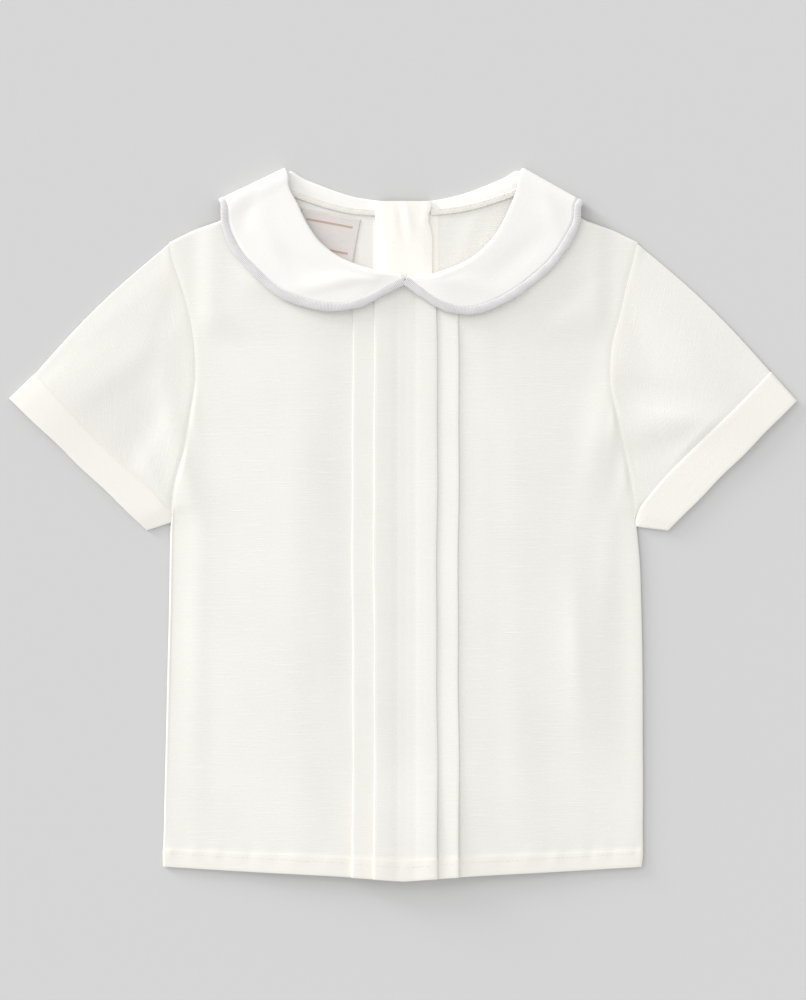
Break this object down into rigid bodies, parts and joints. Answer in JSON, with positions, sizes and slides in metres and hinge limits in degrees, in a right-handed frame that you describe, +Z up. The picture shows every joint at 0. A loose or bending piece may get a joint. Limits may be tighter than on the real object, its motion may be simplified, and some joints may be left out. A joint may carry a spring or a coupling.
{
  "type": "baby's short-sleeved blouse with a round collar, laid flat",
  "caption": "Baby's short-sleeved linen blouse laid flat: round collar with contrast edging, front tucks, cuffed sleeves, buttoned back",
  "frame": {"origin": "on the surface that the blouse lies on, under the middle of its outline", "axes": "+X across the garment to the wearer's left, +Y from hem to neck, +Z up out of the front"},
  "size_m": [0.4257, 0.3844, 0.0121],
  "materials": {
    "linen": "off-white slub linen, plain weave",
    "collar_linen": "the same linen, double and interlined, pressed smooth",
    "edging": "grey overlock thread laid close across the edge",
    "label": "woven satin ribbon",
    "button": "polished, pearl white"
  },
  "bodies": {
    "root": {"front": "linen", "back_inner": "linen", "back_outer": "linen", "sleeve_left": "linen", "cuff_left": "linen", "collar_left": "collar_linen", "edging_left": "edging", "neck_facing_left": "linen", "sleeve_right": "linen", "cuff_right": "linen", "collar_right": "collar_linen", "edging_right": "edging", "neck_facing_right": "linen", "label": "label", "button_1": "button", "button_2": "button", "button_3": "button", "button_4": "button", "button_5": "button"}
  },
  "joints": []
}
